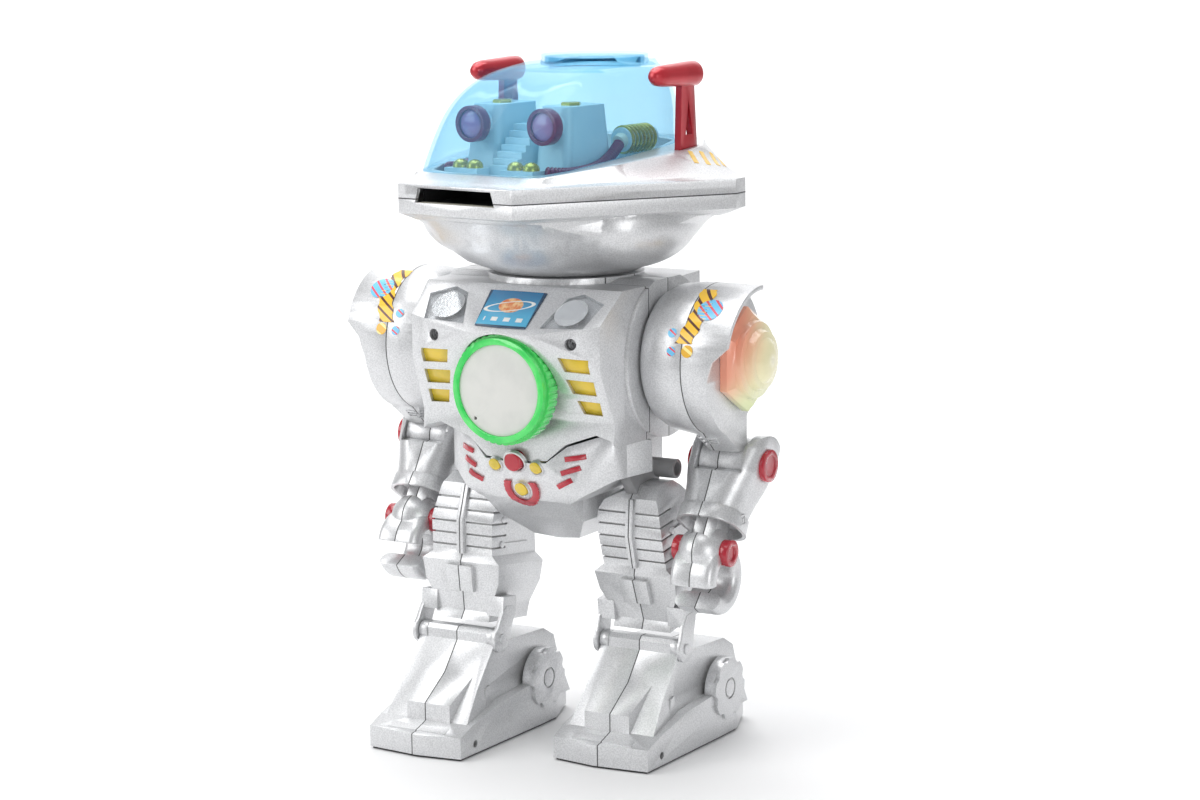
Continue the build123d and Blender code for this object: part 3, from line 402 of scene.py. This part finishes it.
class Shape:
    # points and faces gathered until they become one piece
    def __init__(self):
        self.points, self.faces = [], []

    def add(self, points, faces, seat=Matrix()):
        first = len(self.points)
        self.points += [seat @ (Vector(p) * mm) for p in points]
        self.faces += [tuple(first + i for i in face) for face in faces]
        return self

    def lathe(self, profile, seat, steps=32):
        # profile of (radius, height) turned about the seat's third axis
        points, faces = [], []
        for radius, height in profile:
            points += [(radius * cos(2 * pi * i / steps), radius * sin(2 * pi * i / steps), height)
                       for i in range(steps)]
        for row in range(len(profile) - 1):
            for i in range(steps):
                j = (i + 1) % steps
                faces.append((row * steps + i, row * steps + j, (row + 1) * steps + j, (row + 1) * steps + i))
        faces.append(tuple(reversed(range(steps))))
        faces.append(tuple(range(len(points) - steps, len(points))))
        return self.add(points, faces, seat)

    def prism(self, outline, low, high, seat, edge=0.25):
        # flat prism with a small chamfer round its top
        cx = sum(p[0] for p in outline) / len(outline)
        cy = sum(p[1] for p in outline) / len(outline)

        def shrunk(p):
            reach = hypot(p[0] - cx, p[1] - cy)
            return (cx + (p[0] - cx) * (1 - edge / reach), cy + (p[1] - cy) * (1 - edge / reach))

        rings = [(outline, low), (outline, high - edge), ([shrunk(p) for p in outline], high)]
        n = len(outline)
        points = [(x, y, z) for ring, z in rings for x, y in ring]
        faces = [tuple(reversed(range(n))), tuple(range(2 * n, 3 * n))]
        for row in range(2):
            faces += [(row * n + i, row * n + (i + 1) % n, (row + 1) * n + (i + 1) % n, (row + 1) * n + i)
                      for i in range(n)]
        return self.add(points, faces, seat)

    def ribbon(self, line, normals, width, lift, sunk=0.25):
        # raised bar that follows points on a surface, in metres
        n, first = len(line), len(self.points)
        for i, (p, normal) in enumerate(zip(line, normals)):
            along = (line[min(i + 1, n - 1)] - line[max(i - 1, 0)]).normalized()
            side = normal.cross(along).normalized()
            for reach, height in ((-0.5, -sunk), (-0.5, lift * 0.6), (-0.36, lift),
                                  (0.36, lift), (0.5, lift * 0.6), (0.5, -sunk)):
                self.points.append(p + side * reach * width * mm + normal * height * mm)
        for i in range(n - 1):
            for k in range(6):
                a, b = first + 6 * i + k, first + 6 * i + (k + 1) % 6
                self.faces.append((a, b, b + 6, a + 6))
        self.faces.append(tuple(first + k for k in reversed(range(6))))
        self.faces.append(tuple(first + 6 * (n - 1) + k for k in range(6)))
        return self

    def piece(self, name, body, slotName, paint):
        mesh = bpy.data.meshes.new(name)
        mesh.from_pydata([tuple(p) for p in self.points], [], self.faces)
        mesh.update()
        work = bmesh.new()
        work.from_mesh(mesh)
        bmesh.ops.recalc_face_normals(work, faces=work.faces)
        for face in work.faces:
            face.smooth = True
        for line in work.edges:
            if len(line.link_faces) == 2 and line.calc_face_angle() > radians(hardAngle):
                line.smooth = False
        work.to_mesh(mesh)
        work.free()
        mesh.materials.append(paints[paint])
        obj = bpy.data.objects.new(name, mesh)
        bpy.context.scene.collection.objects.link(obj)
        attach(obj, body)
        return obj


def headSeat(x, y, z, tip=0):
    # a seat on the head, tipped in degrees about its own first axis
    return headSpot @ Matrix.Translation(Vector((x, y, z)) * mm) @ Matrix.Rotation(radians(tip), 4, "X")


surfaces = {}


def surfaceOf(node):
    if node not in surfaces:
        mesh = nodes[node].data
        surfaces[node] = BVHTree.FromPolygons([v.co for v in mesh.vertices],
                                              [tuple(p.vertices) for p in mesh.polygons])
    return surfaces[node]


def seatOn(node, x, y, z, towards):
    # a seat where a line from a point meets a node: third axis out of the surface, second axis upright
    hit, normal, _, _ = surfaceOf(node).ray_cast(bodySpot @ (Vector((x, y, z)) * mm), Vector(towards))
    if hit is None:
        raise ValueError(node + " isn't met from " + str((x, y, z)))
    across = Vector((0, 0, 1)).cross(normal).normalized()
    return Matrix.Translation(hit) @ Matrix((across, normal.cross(across), normal)).transposed().to_4x4()


def dropped(node, first, last, steps=8):
    # points and normals where a line over the head, dropped straight down, lands on a node
    line, normals = [], []
    for i in range(steps + 1):
        start = headSpot @ (Vector(first).lerp(Vector(last), i / steps) * mm)
        hit, normal, _, _ = surfaceOf(node).ray_cast(start, Vector((0, 0, -1)))
        if hit is not None and (not line or (hit - line[-1]).length > 0.05 * mm):
            line.append(hit)
            normals.append(normal)
    return line, normals


# Head: eyes, lamps, coils, hoses, stripes and the disc's track.
facingFront = 90          # degrees that tip a seat's third axis to the front
eye = {"x": 22, "y": -44.6, "z": 309, "lens": [(6.8, 0), (6.8, 0.5), (5.6, 1.2), (3.4, 1.75), (0.01, 1.9)]}
podCap = {"x": 21, "y": -22, "z": 318, "radius": 5.2}
deckLamp = {"spots": ((12.5, -54.5), (21.5, -54.0)), "z": 289,
            "dome": [(4.1, -0.2), (4.1, 0.8), (3.7, 2.2), (2.5, 3.4), (0.9, 4.0), (0.01, 4.05)]}
coil = {"x": 32, "y": 5, "z": 300, "turns": 7, "pitch": 3.0,
        "turn": [(6.0, -0.9), (6.9, -0.6), (7.1, 0), (6.9, 0.6), (6.0, 0.9)]}
hoseEnd = {"x": 32.8, "y": 1.5, "z": 299.4, "tip": -70,
           "profile": [(2.6, -2), (3.6, -1.6), (3.9, 1.2), (3.2, 2.8), (2.9, 4.4), (0.01, 4.5)]}
lenses, golds, lamps, pale = Shape(), Shape(), Shape(), Shape()
for side in (-1, 1):
    lenses.lathe(eye["lens"], headSeat(side * eye["x"], eye["y"], eye["z"], facingFront))
    hexagon = [(podCap["radius"] * cos(pi * k / 3), podCap["radius"] * sin(pi * k / 3)) for k in range(6)]
    golds.prism(hexagon, -0.4, 1.6, headSeat(side * podCap["x"], podCap["y"], podCap["z"]), 0.5)
    for x, y in deckLamp["spots"]:
        lamps.lathe(deckLamp["dome"], headSeat(side * x, y, deckLamp["z"]))
    for i in range(coil["turns"]):
        y = coil["y"] + coil["pitch"] * i
        lamps.lathe(coil["turn"], headSeat(side * coil["x"], y, coil["z"], facingFront))
    pale.lathe(hoseEnd["profile"], headSeat(side * hoseEnd["x"], hoseEnd["y"], hoseEnd["z"], hoseEnd["tip"]))
lenses.piece("eye_lenses", "head", "red_trim", "lensPink")
golds.piece("pod_caps", "head", "amber_clear", "goldTrim")
lamps.piece("deck_lamps_and_coils", "head", "amber_clear", "goldTrim")
pale.piece("hose_ends", "head", "pale_deck", "cream")

hose = {"radius": 2.15, "rib": 0.75, "pitch": 1.9, "around": 14, "wave": (0, 0.7, 1, 0.7),
        "route": [(29.5, -53, 288.4), (34, -47, 287.6), (35.8, -36, 287.4), (36.2, -22, 288.6),
                  (34.6, -8, 293.0), (33, 1.2, 299.2)]}


def ribbedHose(side):
    # rings of changing size along one smooth curve
    data = bpy.data.curves.new("hose_line", "CURVE")
    data.dimensions, data.resolution_u = "3D", 24
    run = data.splines.new("NURBS")
    run.points.add(len(hose["route"]) - 1)
    for point, place in zip(run.points, hose["route"]):
        point.co = (side * place[0] * mm, place[1] * mm, place[2] * mm, 1)
    run.order_u, run.use_endpoint_u = 3, True
    holder = bpy.data.objects.new("hose_line", data)
    line = [v.co.copy() for v in bpy.data.meshes.new_from_object(holder).vertices]
    bpy.data.objects.remove(holder)
    reach = [0.0]
    for first, second in zip(line, line[1:]):
        reach.append(reach[-1] + (second - first).length / mm)
    rings, around = int(reach[-1] / (hose["pitch"] / len(hose["wave"]))), hose["around"]
    shape, k = Shape(), 0
    for i in range(rings + 1):
        far = reach[-1] * i / rings
        while k < len(reach) - 2 and reach[k + 1] < far:
            k += 1
        share = (far - reach[k]) / max(reach[k + 1] - reach[k], 1e-9)
        centre = line[k].lerp(line[k + 1], share)
        along = (line[k + 1] - line[k]).normalized()
        across = along.cross(Vector((0, 0, 1))).normalized()
        over = across.cross(along)
        radius = (hose["radius"] + hose["rib"] * hose["wave"][i % 4]) * mm
        for n in range(around):
            turn = 2 * pi * n / around
            shape.points.append(headSpot @ (centre + across * radius * cos(turn) + over * radius * sin(turn)))
    for i in range(rings):
        for n in range(around):
            low, high, after = around * i, around * (i + 1), (n + 1) % around
            shape.faces.append((low + n, low + after, high + after, high + n))
    shape.faces += [tuple(reversed(range(around))), tuple(range(around * rings, around * rings + around))]
    return shape.piece(("right", "left")[side > 0] + "_hose", "head", "red_hose", "redHose")


for side in (-1, 1):
    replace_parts(ribbedHose(side), "side_hoses")
bpy.data.objects.remove(bpy.data.objects["side_hoses_soft"])

stripe = {"width": 2.5, "lift": 0.18, "above": 330,
          "ends": [((61.2, 19.6), (71.0, 11.5)), ((62.8, 26.7), (74.2, 17.0)), ((63.9, 33.8), (75.0, 24.0)),
                   ((63.6, 41.0), (72.5, 32.5))]}
stripes = Shape()
for side in (-1, 1):
    for (x0, y0), (x1, y1) in stripe["ends"]:
        above = stripe["above"]
        line, normals = dropped("head_upper", (side * x0, y0, above), (side * x1, y1, above))
        stripes.ribbon(line, normals, stripe["width"], stripe["lift"])
stripes.piece("head_stripes", "head", "amber_clear", "stripeInk")

track = {"half": 25.0, "floor": 273.2, "roof": 280.4, "front": -78.0, "rear": -46.0, "sheet": 0.6, "edge": 0.1}
lipSize = {"half": 23.4, "front": -84.6, "rear": -80, "floor": 273.3, "top": 274.5, "edge": 0.3}


def box(shape, x0, x1, y0, y1, z0, z1, edge):
    shape.prism([(x0, y0), (x1, y0), (x1, y1), (x0, y1)], z0, z1, headSpot, edge)


inside, lip = Shape(), Shape()
w, t = track["half"], track["sheet"]
for x0, x1, y0, top in ((-w, -w + t, track["front"], track["roof"]), (w - t, w, track["front"], track["roof"]),
                        (-w, w, track["rear"] - t, track["roof"]), (-w, w, track["front"], track["floor"] + t)):
    box(inside, x0, x1, y0, track["rear"], track["floor"], top, track["edge"])
box(lip, -lipSize["half"], lipSize["half"], lipSize["front"], lipSize["rear"], lipSize["floor"], lipSize["top"],
    lipSize["edge"])
inside.piece("disc_track", "head", "black_plastic", "blackPlastic")
lip.piece("slot_lip", "head", "pale_deck", "cream")
print("head details made")

# Chest: reflectors under the lamp covers and rims round the belt's lamps.
lampCup = {"x": 34.5, "y": -0.5, "ribs": 10, "ribFoot": 2.4, "steps": 24,
           "profile": [(8.6, 0.9), (8.2, 0.4), (6.2, -0.9), (3.2, -1.4), (1.6, -1.45), (1.5, 0.2), (0.9, 0.9),
                       (0.01, 1.0)],
           "rib": [(-0.35, 0), (0.35, 0), (0.5, 5.4), (-0.5, 5.4)]}
slope = (bodySpot @ Matrix.Translation(Vector((0, chest["y"], chest["z"])) * mm)
         @ Matrix.Rotation(chest["tilt"], 4, "X"))
dishes, fins = Shape(), Shape()
for side in (-1, 1):
    seat = slope @ Matrix.Translation(Vector((side * lampCup["x"], lampCup["y"], 0)) * mm)
    dishes.lathe(lampCup["profile"], seat, lampCup["steps"])
    for k in range(lampCup["ribs"]):
        spoke = Matrix.Rotation(2 * pi * k / lampCup["ribs"], 4, "Z") @ Matrix.Translation(
            (0, lampCup["ribFoot"] * mm, 0))
        fins.prism(lampCup["rib"], -1.1, 0.5, seat @ spoke, 0.15)
dishes.piece("lamp_reflectors", "torso", "clear_lamp", "chrome")
fins.piece("lamp_reflector_ribs", "torso", "clear_lamp", "chrome")
bezel = {"spots": ((-11.6, 144.9, 3.1), (11.6, 144.9, 3.1), (0, 132.5, 3.4), (0, 147.5, 5.2)),
         "middle": 0.6, "steps": 28, "rise": ((0, -1.2), (0, 0.5), (0.35, 0.75), (0.95, 0.5), (1.3, -1.2))}
bezels = Shape()
for x, z, r in bezel["spots"]:
    across = r + bezel["middle"]       # the belt beside the hole is met, then the seat slides back over it
    seat = seatOn("pelvis_front", x + across, -90, z - bezel["middle"], (0, 1, 0))
    bezels.lathe([(r + wide, high) for wide, high in bezel["rise"]],
                 seat @ Matrix.Translation((-across * mm, 0, 0)), bezel["steps"])
bezels.piece("belt_bezels", "torso", "silver_shell", "silverPlain")
print("chest details made")

# Arms: labels round the shoulder pods, ribs above the elbows and marks on the cuffs.
podRadius, shoulderZ, printLift = 37.12, 196.0, 0.10
band = {"middle": 86.6, "width": 8.5, "tooth": 0.9, "teeth": 9, "start": 12, "length": 34}
prints = {"disc": (93.2, 27.0, 6.4), "dot": (86.7, 49.5, 3.0), "small": ((77.4, 41, 2.3), (78.2, 50, 2.3))}
elbowRib = {"x": {"inner": 80.2, "outer": 86.8}, "z": 157.5, "rows": (-2.2, 0, 2.2), "edge": 0.15}
cuffMark = {"y": -5, "z": 119, "edge": 0.12,
            "bars": ((-2.6, 2.6, 1.8, 2.6), (-2.6, 2.6, -2.6, -1.8), (-2.6, -1.8, -1.8, 1.8),
                     (1.8, 2.6, -1.8, 1.8), (-0.9, 0.9, -0.9, 0.9))}


def onPod(side, x, reach):
    # a place just above the shoulder pod: x along the shaft, reach round it from the top towards the front
    turn, radius = reach / podRadius, podRadius + printLift
    return Vector((side * x, middleY - radius * sin(turn), shoulderZ + radius * cos(turn))) * mm


def podPatch(shape, side, outline, steps):
    # a thin printed sheet over the pod; outline turns two shares from 0 to 1 into x and reach
    first = len(shape.points)
    count = steps + 1
    for i in range(count):
        for j in range(count):
            x, reach = outline(i / steps, j / steps)
            shape.points.append(onPod(side, x, reach))
    for i in range(steps):
        for j in range(steps):
            a = first + i * count + j
            shape.faces.append((a, a + 1, a + count + 1, a + count))


def slantBand(a, b):
    # slanted band with toothed sides
    middle = band["middle"] + 3.4 * sin(b * 3.0) - 3.0 * b
    tooth = band["tooth"] * (1 if int(b * band["teeth"]) % 2 else -1)
    return middle + (a - 0.5) * (band["width"] + tooth), band["start"] + band["length"] * b


def roundPatch(x, reach, radius):
    # a square of shares drawn out into a circle
    def place(a, b):
        u, v = 2 * a - 1, 2 * b - 1
        return x + radius * u * (1 - v * v / 2) ** 0.5, reach + radius * v * (1 - u * u / 2) ** 0.5

    return place


for side, name in ((1, "left"), (-1, "right")):
    body = name + "_upper_arm"
    bands, discs, dots = Shape(), Shape(), Shape()
    podPatch(bands, side, slantBand, 18)
    podPatch(discs, side, roundPatch(*prints["disc"]), 10)
    podPatch(dots, side, roundPatch(*prints["dot"]), 8)
    for small in prints["small"]:
        podPatch(discs, side, roundPatch(*small), 8)
    bands.piece(name + "_label_band", body, "badge_print", "bandPrint")
    discs.piece(name + "_label_discs", body, "badge_print", "bluePrint")
    dots.piece(name + "_label_dot", body, "badge_print", "yellowPrint")

    ribs = Shape()
    for half, x in elbowRib["x"].items():
        seat = seatOn(body + "_" + half, side * x, -60, elbowRib["z"], (0, 1, 0))
        for v in elbowRib["rows"]:
            ribs.prism([(-2.6, v - 0.5), (2.6, v - 0.5), (2.6, v + 0.5), (-2.6, v + 0.5)], -0.4, 0.5, seat,
                       elbowRib["edge"])
        ribs.prism([(-3.0, -2.7), (-2.2, -2.7), (-2.2, 2.7), (-3.0, 2.7)], -0.4, 0.5, seat, elbowRib["edge"])
    ribs.piece(name + "_elbow_ribs", body, "silver_shell", "silverArm")

    marks = Shape()
    seat = seatOn(name + "_forearm_outer", side * 140, cuffMark["y"], cuffMark["z"], (-side, 0, 0))
    for u0, u1, v0, v1 in cuffMark["bars"]:
        marks.prism([(u0, v0), (u1, v0), (u1, v1), (u0, v1)], -0.4, 0.45, seat, cuffMark["edge"])
    marks.piece(name + "_cuff_mark", name + "_forearm", "silver_shell", "silverArm")
print("arm details made")

# Toe plates: a low panel across the front of each foot, over its roller.
toe = {"half": 16.6, "ankle": {"left": (45.5, 2.152), "right": (-45.5, -22.752)},
       "line": [(-42.2, 12.45), (-41.0, 12.75), (-39.2, 13.26), (-37.4, 13.91)],
       "section": ((-1, -0.35), (-1, 0.1), (-0.985, 0.2), (0.985, 0.2), (1, 0.1), (1, -0.35))}
for name, (ankleX, ankleY) in toe["ankle"].items():
    plate = Shape()
    points = [(ankleX + across * toe["half"], ankleY + y, z + lift)
              for y, z in toe["line"] for across, lift in toe["section"]]
    faces = [(6 * i + k, 6 * i + (k + 1) % 6, 6 * i + 6 + (k + 1) % 6, 6 * i + 6 + k)
             for i in range(len(toe["line"]) - 1) for k in range(6)]
    faces += [(5, 4, 3, 2, 1, 0), tuple(range(18, 24))]
    plate.add(points, faces).piece(name + "_toe_plate", name + "_foot", "silver_shell", "silverLeg")
print("toe plates made")

# Stage, light and camera; sizes in metres, lights in watts.
stage = {"grey": (0.86, 0.86, 0.865), "width": 3.4, "front": -2.2, "bend": 1.5, "radius": 0.7, "height": 2.6,
         "steps": 12, "turn": radians(30)}


def backdrop():
    f = Finish("paperSweep")
    tone = f.mix(stage["grey"], tuple(c * 0.985 for c in stage["grey"]), f.noise(3, 2.0))
    paper = f.show(f.surface(Base_Color=tone, Roughness=0.75 + f.noise(40, 2.0) * 0.1))
    profile = [(stage["front"], 0.0), (stage["bend"], 0.0)]
    for i in range(1, stage["steps"] + 1):
        a = i / stage["steps"] * pi / 2
        profile.append((stage["bend"] + stage["radius"] * sin(a), stage["radius"] * (1 - cos(a))))
    profile.append((stage["bend"] + stage["radius"], stage["height"]))
    mesh = bpy.data.meshes.new("paper_sweep")
    points, faces = [], []
    for y, z in profile:
        points += [(-stage["width"], y, z), (stage["width"], y, z)]
    for i in range(len(profile) - 1):
        faces.append((2 * i, 2 * i + 1, 2 * i + 3, 2 * i + 2))
    mesh.from_pydata(points, [], faces)
    for face in mesh.polygons:
        face.use_smooth = True
    sweep = bpy.data.objects.new("paper_sweep", mesh)
    sweep.rotation_euler = (0, 0, stage["turn"])
    mesh.materials.append(paper)
    bpy.context.scene.collection.objects.link(sweep)


boxes = {
    "top_box": {"spot": (-0.2, 0.0, 1.6), "aim": (0, 0, 0.15), "size": (1.3, 1.3), "watts": 19},
    "key_box": {"spot": (-1.2, -1.2, 0.9), "aim": (0, 0, 0.17), "size": (1.0, 1.2), "watts": 11.5},
    "side_box": {"spot": (1.4, -1.1, 0.5), "aim": (0, 0, 0.15), "size": (0.6, 1.0), "watts": 6.5},
    "paper_box": {"spot": (-0.6, 0.9, 2.1), "aim": (-1.1, 2.2, 0.9), "size": (2.2, 1.2), "watts": 40},
}
sky = {"colour": (0.93, 0.94, 0.95, 1), "strength": 0.42}


def softbox(name, spot, aim, size, watts):
    data = bpy.data.lights.new(name, "AREA")
    data.shape, data.size, data.size_y, data.energy = "RECTANGLE", size[0], size[1], watts
    lamp = bpy.data.objects.new(name, data)
    lamp.location = spot
    lamp.rotation_euler = (Vector(aim) - Vector(spot)).to_track_quat("-Z", "Y").to_euler()
    bpy.context.scene.collection.objects.link(lamp)


backdrop()
for name, settings in boxes.items():
    softbox(name, **settings)
world = bpy.data.worlds.new("studio")
world.use_nodes = True
world.node_tree.nodes["Background"].inputs["Color"].default_value = sky["colour"]
world.node_tree.nodes["Background"].inputs["Strength"].default_value = sky["strength"]
bpy.context.scene.world = world
bpy.context.scene.view_settings.view_transform = "Standard"

# The camera looks at the aim from a distance in metres; angles in degrees, lens and sensor in mm.
view = {"azimuth": 30.084, "elevation": 9.723, "roll": -0.658, "lens": 87.84, "sensor": 36, "distance": 1.48365,
        "aim": (0.000864, 0.0397, 0.16492)}
a, e, r = (radians(view[k]) for k in ("azimuth", "elevation", "roll"))
back = Vector((sin(a) * cos(e), -cos(a) * cos(e), sin(e)))
level = Vector((cos(a), sin(a), 0))
rise = back.cross(level)
right = level * cos(r) + rise * sin(r)
up = rise * cos(r) - level * sin(r)
lensData = bpy.data.cameras.new("camera")
lensData.lens, lensData.sensor_width, lensData.clip_end = view["lens"], view["sensor"], 20
camera = bpy.data.objects.new("camera", lensData)
camera.matrix_world = Matrix.Translation(Vector(view["aim"]) + back * view["distance"]) @ Matrix(
    (right, up, back)).transposed().to_4x4()
bpy.context.scene.collection.objects.link(camera)
bpy.context.scene.camera = camera
print("stage, lights and camera set")
